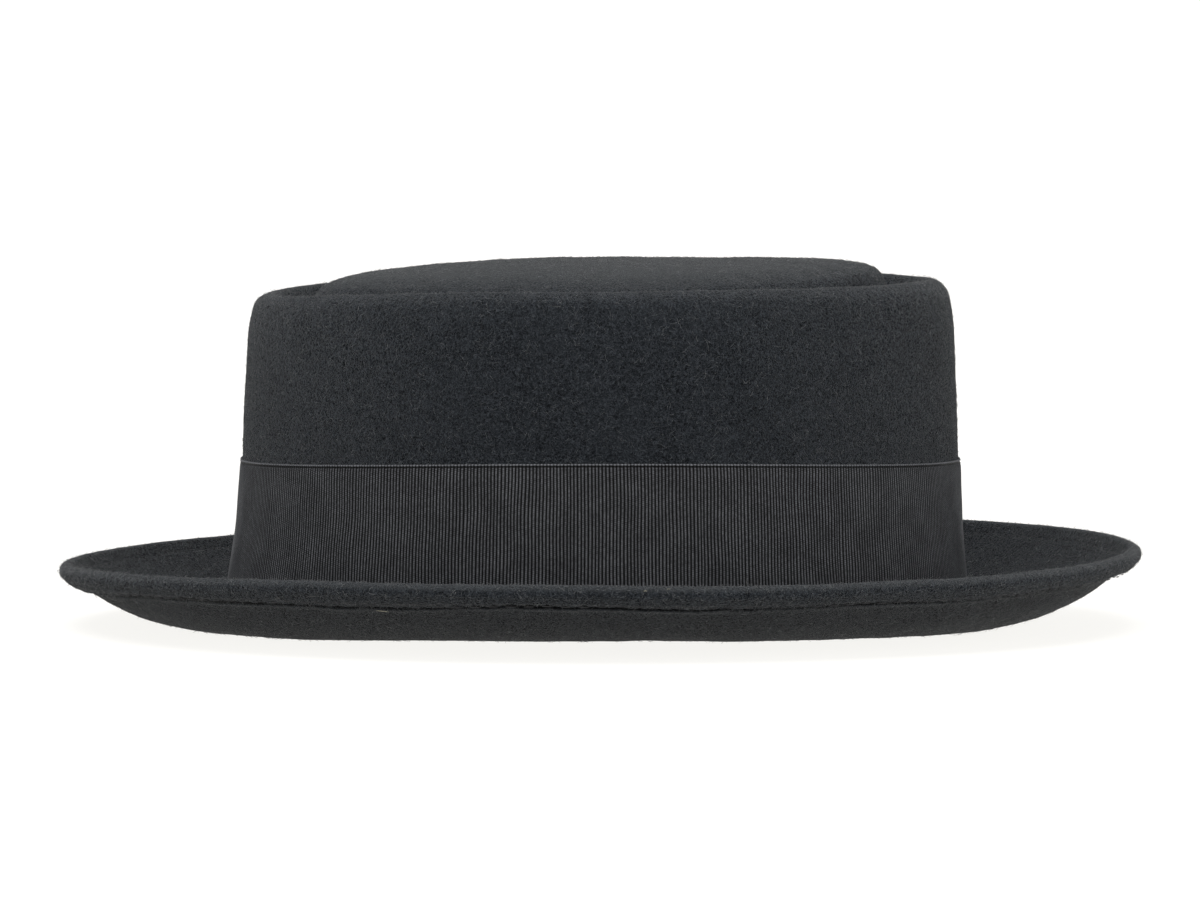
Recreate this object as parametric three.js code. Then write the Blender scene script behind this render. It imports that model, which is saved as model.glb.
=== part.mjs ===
// A black wool felt pork pie hat with a grosgrain ribbon band, standing on its brim.
// Millimetres. +X points to the front of the hat, +Y to the wearer's left and +Z up,
// and z = 0 is the surface that the brim rests on.
import * as THREE from 'three';

// Driving dimensions
const CROWN_HALF_LENGTH = 102.5; // outer face of the felt at the foot of the crown
const CROWN_HALF_WIDTH = 86;
const EGG = 0.02; // how much fuller the oval is towards the back
const FELT = 2; // thickness of the felt
const HEM_WIDTH = 4.2; // from the centre of the fold to the raw edge turned up under the brim
const HEM_GAP = 0.3; // between the brim and its turned hem
const RIBBON = 0.5; // thickness of the ribbon
const RIBBON_GAP = 0.3; // between the ribbon and the felt, and between its lapped ends
const RIBBON_LAP = 2; // steps round the crown that the ribbon's two ends share

// How finely the surfaces are cut
const STEPS_AROUND = 60;
const STEPS_PER_SECTION = 2;
const STEPS_ACROSS_BRIM = 9;
const STEPS_ROUND_FOLD = 6;
const STEPS_ALONG_HEM = 2;

// The felt's outer face from the middle of the crown's top down to the brim, a row for each
// section. out is the distance outwards from the foot of the crown and up the height above the
// table, each at the back, the sides and the front.
const CROWN = [
  { at: 'middle', out: [-102.5, -102.5, -102.5], up: [102.8, 102.8, 102.8] },
  { at: 'island top', out: [-74.0, -74.0, -74.0], up: [102.1, 102.3, 102.6] },
  { at: 'island slope', out: [-48.0, -48.0, -48.0], up: [100.0, 101.1, 102.6] },
  { at: 'island shoulder', out: [-31.0, -31.0, -31.0], up: [97.5, 98.8, 101.2] },
  { at: 'island edge', out: [-24.5, -24.5, -24.5], up: [94.8, 96.0, 98.9] },
  { at: 'island flank', out: [-21.6, -21.6, -21.6], up: [91.0, 92.1, 93.8] },
  { at: 'crease', out: [-18.0, -18.0, -18.0], up: [85.5, 87.0, 87.5] },
  { at: 'rim flank', out: [-13.8, -13.8, -13.8], up: [88.5, 91.8, 91.4] },
  { at: 'rim ridge', out: [-10.2, -9.8, -9.6], up: [92.9, 96.9, 97.1] },
  { at: 'rim shoulder', out: [-6.4, -6.0, -5.4], up: [91.3, 95.2, 94.6] },
  { at: 'wall top', out: [-4.4, -4.1, -3.6], up: [86.0, 89.2, 88.4] },
  { at: 'wall middle', out: [-2.8, -2.6, -2.5], up: [66.0, 69.0, 66.0] },
  { at: 'ribbon top', out: [-1.9, -1.9, -1.9], up: [46.8, 50.4, 46.8] },
  { at: 'ribbon middle', out: [-0.5, -0.7, -1.1], up: [25.0, 28.5, 25.0] },
  { at: 'ribbon foot', out: [1.2, 0.7, -0.1], up: [2.9, 6.4, 2.6] },
  { at: 'fillet', out: [1.7, 1.2, 0.4], up: [1.8, 5.3, 1.5] },
  { at: 'break', out: [2.8, 2.3, 1.5], up: [1.3, 4.8, 1.0] },
];
const ISLAND_OUT = -24.5; // inside this distance the sections shrink evenly to the middle

// The brim's upper face from the break to its edge, at the back, the sides and the front
const BRIM = {
  length: [46.8, 47.3, 49.9],
  slopeAtBreak: [1.5, 0, 7.3], // degrees
  slopeAtEdge: [46.0, 47.2, 49.8],
  curl: 1.38, // 1 bends evenly, and more leaves the bend to the edge
  twist: 0.9, // slow wave of the edge, up at the left front and the right back
};

// A value given at the back, the sides and the front, at the plan angle from the front.
function around([back, side, front], angle) {
  const c = Math.cos(angle);
  return side + ((c > 0 ? front : back) - side) * c * c;
}

// The point of the hat at a plan angle, a distance out from the crown's foot, and a height.
function place(angle, out, up) {
  const c = Math.cos(angle);
  const s = Math.sin(angle);
  const foot = new THREE.Vector2(CROWN_HALF_LENGTH * c, CROWN_HALF_WIDTH * s * (1 - EGG * c));
  const outwards = new THREE.Vector2(
    CROWN_HALF_WIDTH * (c - EGG * Math.cos(2 * angle)),
    CROWN_HALF_LENGTH * s,
  ).normalize();
  foot.addScaledVector(outwards, Math.max(out, ISLAND_OUT));
  const island = Math.min(0, out - ISLAND_OUT) / (CROWN_HALF_LENGTH + ISLAND_OUT);
  foot.multiplyScalar(1 + island);
  return new THREE.Vector3(foot.x, foot.y, up);
}

// The crown's outer face at a plan angle, as points (out, up) from the middle to the break.
function crownProfile(angle) {
  const rows = CROWN.map((row) => new THREE.Vector3(around(row.out, angle), around(row.up, angle)));
  const curve = new THREE.CatmullRomCurve3(rows, false, 'centripetal');
  return curve.getPoints((CROWN.length - 1) * STEPS_PER_SECTION);
}

// The brim's upper face at a plan angle, as points (out, up) that follow its slope outwards.
function brimProfile(angle, start) {
  const step = around(BRIM.length, angle) / STEPS_ACROSS_BRIM;
  const first = around(BRIM.slopeAtBreak, angle);
  const last = around(BRIM.slopeAtEdge, angle);
  const at = start.clone();
  const points = [];
  for (let i = 1; i <= STEPS_ACROSS_BRIM; i += 1) {
    const bend = ((i - 0.5) / STEPS_ACROSS_BRIM) ** BRIM.curl;
    const slope = THREE.MathUtils.degToRad(first + (last - first) * bend);
    at.x += Math.cos(slope) * step;
    at.y += Math.sin(slope) * step;
    const wave = BRIM.twist * Math.sin(2 * angle) * (i / STEPS_ACROSS_BRIM) ** 2;
    points.push(new THREE.Vector3(at.x, at.y + wave));
  }
  return points;
}

// The unit direction into the felt, to the right of a profile that runs from a point to the next.
function intoFelt(from, to) {
  const along = to.clone().sub(from).normalize();
  return new THREE.Vector3(along.y, -along.x);
}

// A profile moved into the felt by a distance, or out of it where the distance is negative.
function sink(profile, distance) {
  return profile.map((point, i) => {
    const before = profile[Math.max(i - 1, 0)];
    const after = profile[Math.min(i + 1, profile.length - 1)];
    return point.clone().addScaledVector(intoFelt(before, after), distance);
  });
}

// Where the hat's weight presses the felt flat on the table, no point of it lies below a height.
function rest(profile, height) {
  return profile.map(({ x, y }) => new THREE.Vector3(x, Math.max(y, height)));
}

// Half a turn round the brim's edge, between two depths below its upper face.
function foldProfile(brim, near, far, steps) {
  const [before, edge] = brim.slice(-2);
  const into = intoFelt(before, edge);
  const along = new THREE.Vector3(-into.y, into.x);
  const radius = (far - near) / 2;
  const points = [];
  for (let i = 1; i < steps; i += 1) {
    const turned = (Math.PI * i) / steps;
    const depth = near + radius * (1 - Math.cos(turned));
    const reach = radius * Math.sin(turned);
    points.push(edge.clone().addScaledVector(into, depth).addScaledVector(along, reach));
  }
  return points;
}

// The hem at a depth below the brim's upper face, from the fold in to its raw edge.
function hemProfile(brim, depth) {
  const curve = new THREE.CatmullRomCurve3(sink(brim, depth).reverse(), false, 'centripetal');
  const width = HEM_WIDTH / curve.getLength();
  const points = [];
  for (let i = 0; i <= STEPS_ALONG_HEM; i += 1) {
    points.push(curve.getPointAt((width * i) / STEPS_ALONG_HEM));
  }
  return points;
}

// The felt's closed section at a plan angle: from the middle of the top down the outer face,
// round the hem to its raw edge, up the slit between hem and brim, and back up the inner face.
function feltSection(angle) {
  const crown = crownProfile(angle);
  const brim = brimProfile(angle, crown[crown.length - 1]);
  const outer = [...crown, ...brim];
  const underBrim = FELT + HEM_GAP;
  const hemFace = underBrim + FELT;
  const inner = rest(sink(outer, FELT), 0);
  inner[0].set(outer[0].x, outer[0].y - FELT, 0);
  const innerCrown = inner.slice(0, crown.length).filter((_, i) => i % STEPS_PER_SECTION === 0);
  const innerBrim = inner.slice(crown.length);
  return [
    ...rest(outer, FELT),
    ...foldProfile(brim, 0, hemFace, STEPS_ROUND_FOLD),
    ...hemProfile(brim, hemFace),
    ...hemProfile(brim, underBrim).reverse(),
    ...foldProfile(brim, FELT, underBrim, 2),
    ...innerBrim.reverse(),
    ...innerCrown.reverse(),
  ].map(({ x, y }) => place(angle, x, y));
}

// The geometry of sections of points, joined by the triangles of an index.
function geometryOf(sections, index) {
  const positions = sections.flat().flatMap(({ x, y, z }) => [x, y, z]);
  const geometry = new THREE.BufferGeometry();
  geometry.setAttribute('position', new THREE.Float32BufferAttribute(positions, 3));
  geometry.setIndex(index);
  return geometry;
}

// A closed skin over a ring of sections, whose first points all meet and whose last ones do too.
function ringSkin(sections) {
  const count = sections[0].length;
  const index = [];
  for (let j = 0; j < sections.length; j += 1) {
    const near = j * count;
    const far = ((j + 1) % sections.length) * count;
    for (let i = 0; i < count - 1; i += 1) {
      if (i > 0) index.push(near + i, near + i + 1, far + i);
      if (i < count - 2) index.push(far + i, near + i + 1, far + i + 1);
    }
  }
  return geometryOf(sections, index);
}

// A closed skin over a row of sections that are loops, with both ends of the row closed flat.
function stripSkin(sections) {
  const count = sections[0].length;
  const last = (sections.length - 1) * count;
  const index = [];
  for (let near = 0; near < last; near += count) {
    const far = near + count;
    for (let i = 0; i < count; i += 1) {
      const next = (i + 1) % count;
      index.push(near + i, near + next, far + i);
      index.push(far + i, near + next, far + next);
    }
  }
  for (let i = 0; i < count / 2 - 1; i += 1) {
    const across = count - 1 - i;
    index.push(i, across, i + 1, i + 1, across, across - 1);
    index.push(last + i, last + i + 1, last + across);
    index.push(last + i + 1, last + across - 1, last + across);
  }
  return geometryOf(sections, index);
}

// Crown and brim are blocked from one felt hood, so they are one solid with the turned hem.
function feltBody() {
  const sections = [];
  for (let step = 0; step < STEPS_AROUND; step += 1) {
    sections.push(feltSection((2 * Math.PI * step) / STEPS_AROUND));
  }
  const felt = new THREE.MeshStandardMaterial({ color: 0x242628, roughness: 0.95, metalness: 0 });
  const mesh = new THREE.Mesh(ringSkin(sections), felt);
  mesh.name = 'felt_body';
  return mesh;
}

// The ribbon's section at a step round the crown, in layer 0 on the felt or 1 on its own end.
function ribbonSection(step, layer) {
  const angle = (2 * Math.PI * step) / STEPS_AROUND;
  const top = CROWN.findIndex((row) => row.at === 'ribbon top') * STEPS_PER_SECTION;
  const foot = CROWN.findIndex((row) => row.at === 'ribbon foot') * STEPS_PER_SECTION;
  const crown = crownProfile(angle);
  const backDepth = RIBBON_GAP + layer * (RIBBON + RIBBON_GAP);
  const back = sink(crown, -backDepth).slice(top, foot + 1);
  const face = sink(crown, -backDepth - RIBBON).slice(top, foot + 1);
  return [...face, ...back.reverse()].map(({ x, y }) => place(angle, x, y));
}

// The ribbon starts and ends at the wearer's left, where its upper end climbs onto the lower.
function ribbonBand() {
  const start = STEPS_AROUND / 4 - RIBBON_LAP / 2;
  const sections = [];
  for (let step = 0; step <= STEPS_AROUND + RIBBON_LAP; step += 1) {
    sections.push(ribbonSection(start + step, step < STEPS_AROUND ? 0 : 1));
  }
  const grosgrain = new THREE.MeshStandardMaterial({ color: 0x1b1b1e, roughness: 0.7, metalness: 0 });
  const mesh = new THREE.Mesh(stripSkin(sections), grosgrain);
  mesh.name = 'ribbon_band';
  return mesh;
}

const hat = new THREE.Group();
hat.add(feltBody(), ribbonBand());

export default hat;
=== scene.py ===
import math

import bpy
import numpy as np
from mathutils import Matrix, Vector


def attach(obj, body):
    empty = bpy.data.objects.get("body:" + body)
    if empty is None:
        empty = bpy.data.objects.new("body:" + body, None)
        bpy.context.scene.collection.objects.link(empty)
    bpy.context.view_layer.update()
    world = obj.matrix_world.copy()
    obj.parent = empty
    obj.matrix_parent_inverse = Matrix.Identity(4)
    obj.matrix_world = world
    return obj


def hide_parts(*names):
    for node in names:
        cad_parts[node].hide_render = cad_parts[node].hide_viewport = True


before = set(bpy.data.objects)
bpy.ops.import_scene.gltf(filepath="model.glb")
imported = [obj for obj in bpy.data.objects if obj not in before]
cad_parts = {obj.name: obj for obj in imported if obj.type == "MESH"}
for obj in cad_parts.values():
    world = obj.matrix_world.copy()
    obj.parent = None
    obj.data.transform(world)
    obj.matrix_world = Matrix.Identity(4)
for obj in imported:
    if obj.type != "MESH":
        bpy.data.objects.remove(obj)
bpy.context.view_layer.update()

# A black wool felt pork pie hat with a grosgrain ribbon band, standing on its brim. Shapes are
# worked out in millimetres and made in metres. +X points to the front of the hat, +Y to the
# wearer's left and +Z up, and z = 0 is the surface that the brim rests on.
MM = 0.001
TURN = 2 * math.pi
UPWARDS = np.array([0.0, 0.0, 1.0])
FINE_TURN = np.linspace(0, TURN, 4001)  # plan angles at which lengths round the hat are measured
FINE_ROWS = 400  # points at which a stretch of the section is measured
MAP_FILL = 0.98  # how much of its strip of the bake's map a piece takes
LUMP_WAVES = 24  # how many waves add up to an unevenness
LUMP_PITCHES = (0.8, 1.6)  # how long they are, as shares of its lumps' size

# The camera, in metres, with its lens and sensor in millimetres and the photograph's frame
CAMERA_AT = (0, -2.4336, 0.2012)
CAMERA_AIM = (0, 0, 0.0489)
LENS = 260.3
SENSOR = 36
REACH_OF_VIEW = 100  # metres
FRAME = (1200, 900)

# The felt's sizes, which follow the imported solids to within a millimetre
CROWN_HALF_LENGTH = 102.5
CROWN_HALF_WIDTH = 86
EGG = 0.02  # how much fuller the oval is towards the back
FELT = 2
ISLAND_OUT = -24.5  # inside this distance the sections shrink evenly to the middle

# The felt's outer face from the middle of the crown's top down to the brim. out is the distance
# outwards from the foot of the crown and up the height, each at the back, the sides and the front.
CROWN = [
    dict(at="middle", out=(-102.5, -102.5, -102.5), up=(102.8, 102.8, 102.8)),
    dict(at="island top", out=(-74.0, -74.0, -74.0), up=(102.1, 102.3, 102.6)),
    dict(at="island slope", out=(-48.0, -48.0, -48.0), up=(100.0, 101.1, 102.6)),
    dict(at="island shoulder", out=(-31.0, -31.0, -31.0), up=(97.5, 98.8, 101.8)),
    dict(at="island edge", out=(-24.5, -24.5, -24.5), up=(94.8, 96.0, 99.7)),
    dict(at="island flank", out=(-21.6, -21.6, -21.6), up=(91.0, 92.1, 94.3)),
    dict(at="crease", out=(-18.0, -18.0, -18.0), up=(85.5, 87.0, 87.5)),
    dict(at="rim flank", out=(-13.8, -13.8, -13.8), up=(88.5, 91.8, 91.4)),
    dict(at="rim ridge", out=(-10.2, -9.8, -9.6), up=(92.9, 96.9, 97.1)),
    dict(at="rim shoulder", out=(-6.4, -6.0, -5.4), up=(91.3, 95.2, 94.6)),
    dict(at="wall top", out=(-4.4, -4.1, -3.6), up=(86.0, 89.2, 88.4)),
    dict(at="wall middle", out=(-2.8, -2.6, -2.5), up=(66.0, 69.0, 66.0)),
    dict(at="ribbon top", out=(-1.9, -1.9, -1.9), up=(46.8, 50.4, 46.8)),
    dict(at="ribbon middle", out=(-0.5, -0.7, -1.1), up=(25.0, 28.5, 25.0)),
    dict(at="ribbon foot", out=(1.2, 0.7, -0.1), up=(2.9, 6.4, 2.6)),
    dict(at="fillet", out=(1.7, 1.2, 0.4), up=(1.8, 5.3, 1.5)),
    dict(at="break", out=(2.8, 2.3, 1.5), up=(1.3, 4.8, 1.0)),
]

# The dents of blocking and wear, by their depth and the size of their lumps
DENTS = [
    dict(depth=0.22, size=42, seed=11),
    dict(depth=0.1, size=11, seed=12),
]

# The brim's upper face from the break to its edge, at the back, the sides and the front
BRIM_LENGTH = (46.8, 47.3, 49.9)
BRIM_SLOPE_AT_BREAK = (1.5, 0, 7.3)  # degrees
BRIM_SLOPE_AT_EDGE = (46.0, 47.2, 49.8)
BRIM_CURL = 1.38
BRIM_TWIST = 0.9
BRIM_STEPS = 96
BRIM_REACH = 0.88  # how far outwards its upturned edge lies, as a share of its length
BRIM_RADIUS = 130  # of the circle on which the unevenness of its edge is worked out

# The hem that is turned up under the brim, and the stitches that hold it
HEM_WIDTH = 4.3
HEM_WANDER = 0.8  # how much wider and narrower the hem is cut along the brim
HEM_NICKS = 0.25  # how uneven the scissors' cut is
HEM_SCALLOP = 0.3  # how much wider it is between stitches
HEM_GAP = 0.3
HEM_LIFT = 0.5  # how far the raw edge stands off the brim between stitches
HEM_LIFT_EVEN = 0.55  # the share of its lift that it has all along
HEM_LIFT_UNEVEN = 0.6  # and the share that comes and goes
HEM_LIFT_AT_STITCH = 0.35  # what the stitches leave of its lift
HEM_LEAST_LIFT = 0.05
HEM_GROOVE = 0.4  # how deep the stitches pull the hem in
HEM_RINGS = (0, 0.15, 0.3, 0.45, 0.58, 0.7, 0.8, 0.9, 0.97)  # as shares of its width
SLIT_RINGS = (0.66, 0.33, 0)
RAW_EDGE = 1.1  # what the hem is pressed down to at its raw edge
RAW_EDGE_BULGE = 0.3
RAW_EDGE_FACE = 0.47  # half the cut face, as a share of the felt's thickness
STITCHES = 180
STITCH_LINE = 3.3  # from the brim's edge
STITCH_SHARE = 0.58  # of a stitch's pitch that shows as thread
STEPS_ALONG_PITCH = 24
STITCH_POINTS = 6
STITCH_SEED = 31
STITCH_SWAY = 0.14  # how far the stitches wander off their line
STITCH_DIVE = 0.28  # how deep each stitch goes in at its ends
STITCH_PROUD = 0.05  # how far its middle stands out of its groove
THREAD_RADIUS = 0.15
THREAD_TAPER = 0.75  # how much of its thickness goes where it dives in
UPPER_GROOVE = 0.3
GROOVE_HALF_WIDTH = 0.75
GROOVE_EASE = 0.3  # how much shallower and deeper it gets from stitch to stitch
# The size of the lumps in the unevenness along the brim's edge
HEM_LUMPS = dict(size=60, seed=21)
NICK_LUMPS = dict(size=9, seed=22)
LIFT_LUMPS = dict(size=45, seed=23)
CHANNEL_LUMPS = dict(size=50, seed=24)
CHANNEL_NICK_LUMPS = dict(size=8, seed=25)

# The brim's underside past the hem's raw edge: a dark channel that the hem has pressed in, and
# the low ridge behind it. swell is how far it stands out, crease how dark it is painted as shade,
# and rubbed how much lighter it is painted, as wear and as a highlight along the ridge.
UNDERSIDE_SHADE = 0.45  # how much blacker than the crown the underside is painted, as shade
CHANNEL_FADE = 0.6  # how much shallower the channel gets towards the hat's back and front
CHANNEL_FADES = (0.65, 0.9)  # the cosines of the plan angle between which it does
CHANNEL_LEAST = 0.15  # what is left of it everywhere
CHANNEL_USUAL = 0.62  # how open it is as a rule, with how much that wanders and is nicked
CHANNEL_WANDER = 0.4
CHANNEL_NICKS = 0.25
CHANNEL = [
    dict(at="under the raw edge", past=-0.3, swell=0.0, crease=0.6, rubbed_and_painted_highlight=0.0),
    dict(at="channel's near side", past=0.5, swell=-0.4, crease=1.0, rubbed_and_painted_highlight=0.0),
    dict(at="channel's floor", past=1.3, swell=-0.65, crease=1.0, rubbed_and_painted_highlight=0.0),
    dict(at="channel's floor", past=2.1, swell=-0.6, crease=1.0, rubbed_and_painted_highlight=0.0),
    dict(at="channel's far side", past=2.75, swell=-0.1, crease=0.9, rubbed_and_painted_highlight=0.0),
    dict(at="ridge", past=3.1, swell=0.35, crease=0.0, rubbed_and_painted_highlight=0.8),
    dict(at="ridge's back", past=3.65, swell=0.3, crease=0.1, rubbed_and_painted_highlight=0.6),
    dict(at="flat", past=4.8, swell=0.0, crease=UNDERSIDE_SHADE, rubbed_and_painted_highlight=0.0),
]

# How finely the felt is cut. On each stretch of the crown, nap is how thickly loose fibres stand
# and rubbed how much lighter it is painted, as wear and as a highlight where light from above falls.
COLUMNS_PER_STITCH = 3
COLUMNS = STITCHES * COLUMNS_PER_STITCH
CROWN_STRETCHES = [
    dict(first="middle", last="island shoulder", rings=15, nap=1.0, rubbed_and_painted_highlight=0.4),
    dict(first="island shoulder", last="island edge", rings=5, nap=1.0, rubbed_and_painted_highlight=0.3),
    dict(first="island edge", last="rim ridge", rings=23, nap=1.0, rubbed_and_painted_highlight=0.0),
    dict(first="rim ridge", last="wall top", rings=12, nap=1.0, rubbed_and_painted_highlight=0.12),
    dict(first="wall top", last="ribbon top", rings=9, nap=1.0, rubbed_and_painted_highlight=0.0),
    dict(first="ribbon top", last="ribbon foot", rings=8, nap=0.0, rubbed_and_painted_highlight=0.0),
    dict(first="ribbon foot", last="break", rings=5, nap=0.6, rubbed_and_painted_highlight=0.0),
]
# How much blacker than the crown these faces are painted, as shade where less light falls on them
UPPER_BRIM_SHADE = 0.28
HEM_SHADE = 0.2
BRIM_NAP = 1.3
HEM_NAP = 1.5
RAW_EDGE_NAP = 1.0
UNDER_BRIM_NAP = 0.8
FOLD_RINGS = 11
CUT_RINGS = 4
NEAR_EDGE = (0.0, 0.7, 1.4, 2.0, 2.5, 2.9, 3.3, 3.7, 4.1, 4.7, 5.4, 6.4, 7.8, 9.8)
OUTER_BRIM_RINGS = 16
INNER_BRIM_RINGS = 10
INNER_CROWN_STEP = 3  # one inner ring for every so many outer ones
EDGE_SPREAD = 0.2  # keeps rings that lie close together from passing for a sharp edge
SHARPEST_EDGE = 0.5
INSIDE_MAP_SHARE = 0.4  # how much of the bake's map the unseen inside gets, by its size
FELT_STRIPS = 2  # of the bake's map, one above the other


def around(values, angle):
    """A value given at the back, the sides and the front, at plan angles from the front."""
    back, side, front = values
    c = np.cos(angle)
    return side + (np.where(c > 0, front, back) - side) * c * c


def place(angle, section):
    """Points of the hat at plan angles, from (out, up) points of its section there."""
    out, up = section[..., 0], section[..., 1]
    c, s = np.cos(angle), np.sin(angle)
    foot = np.stack([CROWN_HALF_LENGTH * c, CROWN_HALF_WIDTH * s * (1 - EGG * c)], -1)
    outwards = np.stack([CROWN_HALF_WIDTH * (c - EGG * np.cos(2 * angle)), CROWN_HALF_LENGTH * s], -1)
    outwards = unit(outwards)
    island = np.minimum(0, out - ISLAND_OUT) / (CROWN_HALF_LENGTH + ISLAND_OUT)
    foot = (foot + outwards * np.maximum(out, ISLAND_OUT)[..., None]) * (1 + island)[..., None]
    return np.concatenate([foot, up[..., None]], -1)


def unit(vectors):
    """Vectors scaled to a length of 1."""
    return vectors / np.maximum(np.linalg.norm(vectors, axis=-1, keepdims=True), 1e-9)


def smoothstep(share):
    """An even rise from 0 to 1 as share goes from 0 to 1."""
    share = np.clip(share, 0, 1)
    return share * share * (3 - 2 * share)


def lumps(points, size, seed):
    """Smooth unevenness of about -1 to 1, whose lumps are about that size."""
    rng = np.random.default_rng(seed)
    directions = unit(rng.normal(size=(LUMP_WAVES, 3)))
    pitches = size * rng.uniform(*LUMP_PITCHES, LUMP_WAVES)
    phases = rng.uniform(0, TURN, LUMP_WAVES)
    total = np.zeros(points.shape[:-1])
    for direction, pitch, phase in zip(directions, pitches, phases):
        total += np.sin(points @ direction * (TURN / pitch) + phase)
    return total / math.sqrt(2 * LUMP_WAVES)


def row_number(name):
    """Where a named row comes in the crown's table."""
    return [row["at"] for row in CROWN].index(name)


def crown_curve(angle, rows):
    """The crown's outer face at plan angles, read at fractional row numbers: (rows, angles, 2)."""
    table = np.array([
        np.stack([around(row["out"], angle), around(row["up"], angle)], -1)
        for row in CROWN
    ])
    first = 2 * table[0] - table[1]
    last = 2 * table[-1] - table[-2]
    padded = np.concatenate([first[None], table, last[None]])
    low = np.minimum(rows.astype(int), len(table) - 2)
    before, start, end, after = (padded[low + i] for i in range(4))
    near = np.sqrt(np.linalg.norm(start - before, axis=-1, keepdims=True))
    here = np.sqrt(np.linalg.norm(end - start, axis=-1, keepdims=True))
    far = np.sqrt(np.linalg.norm(after - end, axis=-1, keepdims=True))
    leaving = here * ((start - before) / near - (end - before) / (near + here) + (end - start) / here)
    arriving = here * ((end - start) / here - (after - start) / (here + far) + (after - end) / far)
    w = (rows - low)[:, None, None]
    square = 3 * (end - start) - 2 * leaving - arriving
    cube = 2 * (start - end) + leaving + arriving
    return start + w * (leaving + w * (square + w * cube))


def lengths_along(line):
    """How far along a line of points each of them comes."""
    return np.concatenate([[0], np.cumsum(np.linalg.norm(np.diff(line, axis=0), axis=1))])


def side_section(rows):
    """The crown's section at the hat's side, at fractional row numbers."""
    return crown_curve(np.array([TURN / 4]), rows)[:, 0]


def even_rows(first, last, count):
    """Row numbers from one named row to another, evenly spaced along the side's section."""
    fine = np.linspace(row_number(first), row_number(last), FINE_ROWS)
    lengths = lengths_along(side_section(fine))
    return np.interp(np.linspace(0, lengths[-1], count + 1), lengths, fine)


def into_felt(section):
    """The unit direction into the felt at each ring of a section that runs outwards."""
    before = np.concatenate([section[:1], section[:-1]])
    after = np.concatenate([section[1:], section[-1:]])
    along = unit(after - before)
    return np.stack([along[..., 1], -along[..., 0]], -1)


def unevenness(points):
    """How far blocking and wear have pushed the felt in or out, in millimetres."""
    return sum(row["depth"] * lumps(points, row["size"], row["seed"]) for row in DENTS)


class Brim:
    """The brim at plan angles, read at distances in from its edge and depths below its face."""

    def __init__(self, angle, start):
        self.angle = angle
        self.length = around(BRIM_LENGTH, angle)
        first = around(BRIM_SLOPE_AT_BREAK, angle)
        last = around(BRIM_SLOPE_AT_EDGE, angle)
        at = start.copy()
        rings = [at.copy()]
        for i in range(1, BRIM_STEPS + 1):
            slope = np.radians(first + (last - first) * ((i - 0.5) / BRIM_STEPS) ** BRIM_CURL)
            at = at + np.stack([np.cos(slope), np.sin(slope)], -1) * (self.length / BRIM_STEPS)[:, None]
            ring = at.copy()
            ring[:, 1] += BRIM_TWIST * np.sin(2 * angle) * (i / BRIM_STEPS) ** 2
            rings.append(ring)
        face = np.array(rings)
        into = into_felt(face)
        dents = unevenness(place(angle, face))
        self.face = face + into * dents[..., None]
        self.into = into

    def at(self, inwards, depth):
        """One ring of (out, up) points."""
        ring = np.clip(BRIM_STEPS * (1 - inwards / self.length), 0, BRIM_STEPS)
        low = np.minimum(ring.astype(int), BRIM_STEPS - 1)
        share = (ring - low)[:, None]
        columns = np.arange(len(self.angle))
        face = self.face[low, columns] * (1 - share) + self.face[low + 1, columns] * share
        into = unit(self.into[low, columns] * (1 - share) + self.into[low + 1, columns] * share)
        return face + into * np.broadcast_to(depth, inwards.shape)[:, None]

    def fold(self, near, far, steps):
        """Rings of half a turn round the edge, between two depths below the upper face."""
        edge, into = self.face[-1], self.into[-1]
        along = np.stack([-into[:, 1], into[:, 0]], -1)
        radius = (far - near) / 2
        rings = []
        for i in range(1, steps):
            turned = math.pi * i / steps
            depth = near + radius * (1 - math.cos(turned))
            reach = radius * math.sin(turned)
            rings.append(edge + into * depth[:, None] + along * reach[:, None])
        return rings


def even_angles(count):
    """Plan angles that are evenly spaced along the brim's edge."""
    reach = around(BRIM_LENGTH, FINE_TURN) * BRIM_REACH
    lengths = lengths_along(place(FINE_TURN, np.stack([reach, np.zeros_like(reach)], -1)))
    return np.interp(np.linspace(0, lengths[-1], count + 1)[:-1], lengths, FINE_TURN)


def round_edge(angle):
    """A circle in place of the brim's edge, for the unevenness along it."""
    return np.stack([np.cos(angle), np.sin(angle), np.zeros_like(angle)], -1) * BRIM_RADIUS


def hem_shape(angle, phase):
    """The hem's width and its raw edge's lift off the brim, at each column."""
    edge = round_edge(angle)
    loose = 0.5 - 0.5 * np.cos(TURN * phase)
    width = HEM_WIDTH + HEM_WANDER * lumps(edge, **HEM_LUMPS) + HEM_SCALLOP * (loose - 0.5)
    width = width + HEM_NICKS * lumps(edge, **NICK_LUMPS)
    freed = HEM_LIFT_AT_STITCH + (1 - HEM_LIFT_AT_STITCH) * loose
    lift = HEM_LIFT * freed * (HEM_LIFT_EVEN + HEM_LIFT_UNEVEN * lumps(edge, **LIFT_LUMPS))
    return width, np.maximum(lift, HEM_LEAST_LIFT)


def channel_depth(angle):
    """How much of the channel beside the hem shows at each column, at most 1."""
    edge = round_edge(angle)
    start, end = CHANNEL_FADES
    faded = smoothstep((np.abs(np.cos(angle)) - start) / (end - start))
    shown = 1 - CHANNEL_FADE * faded
    wanders = CHANNEL_WANDER * lumps(edge, **CHANNEL_LUMPS)
    nicked = CHANNEL_NICKS * lumps(edge, **CHANNEL_NICK_LUMPS)
    uneven = smoothstep(CHANNEL_USUAL + wanders + nicked)
    return CHANNEL_LEAST + (1 - CHANNEL_LEAST) * uneven * shown


def groove(inwards, phase, depth):
    """How deep the stitches pull the felt in, at a distance in from the brim's edge."""
    pull = 1 - GROOVE_EASE + GROOVE_EASE * np.cos(TURN * phase)
    return depth * pull * np.exp(-(((inwards - STITCH_LINE) / GROOVE_HALF_WIDTH) ** 2))


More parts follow.
